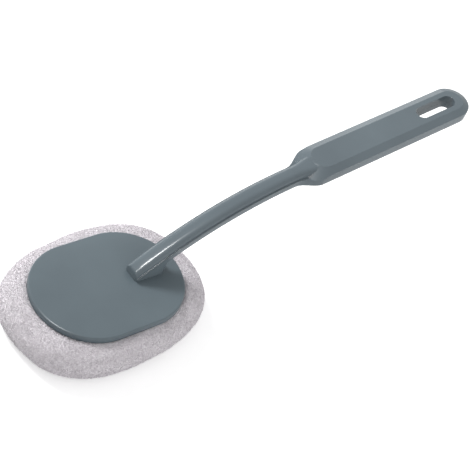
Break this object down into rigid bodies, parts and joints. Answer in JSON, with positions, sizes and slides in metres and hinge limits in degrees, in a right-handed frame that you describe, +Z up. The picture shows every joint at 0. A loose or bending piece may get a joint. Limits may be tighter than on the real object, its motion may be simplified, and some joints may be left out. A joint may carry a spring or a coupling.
{
  "type": "washing wand",
  "caption": "Long-handled washing wand: an oval plate with a bent two-shell handle and a hanging slot, over a thick fleece pad that hooks on below and pulls off.",
  "frame": {"origin": "on the pad's flat underside, straight under the middle of the head plate", "axes": "+X from the head along the handle to the end of the grip, +Z up from the pad's underside to the plate and the handle"},
  "size_m": [0.3274, 0.0963, 0.101],
  "materials": {
    "plate_plastic": "satin slate grey-green",
    "handle_plastic": "satin slate grey-green",
    "screw_steel": "plain steel",
    "hook_plastic": "matt dark nylon hooks",
    "loop_fabric": "pale brushed loops",
    "sponge": "open soft foam",
    "fleece": "short white fleece pile"
  },
  "bodies": {
    "handle": {"head_plate": "plate_plastic", "upper_shell": "handle_plastic", "lower_shell": "handle_plastic", "foot_screws": "screw_steel", "hook_sheet": "hook_plastic"},
    "pad": {"loop_sheet": "loop_fabric", "foam_core": "sponge", "pad_cover": "fleece"}
  },
  "joints": [
    {"name": "pad_release", "type": "slide", "parent": "pad", "child": "handle", "axis": [0, 0, 1], "range_m": [0, 0.04]}
  ]
}
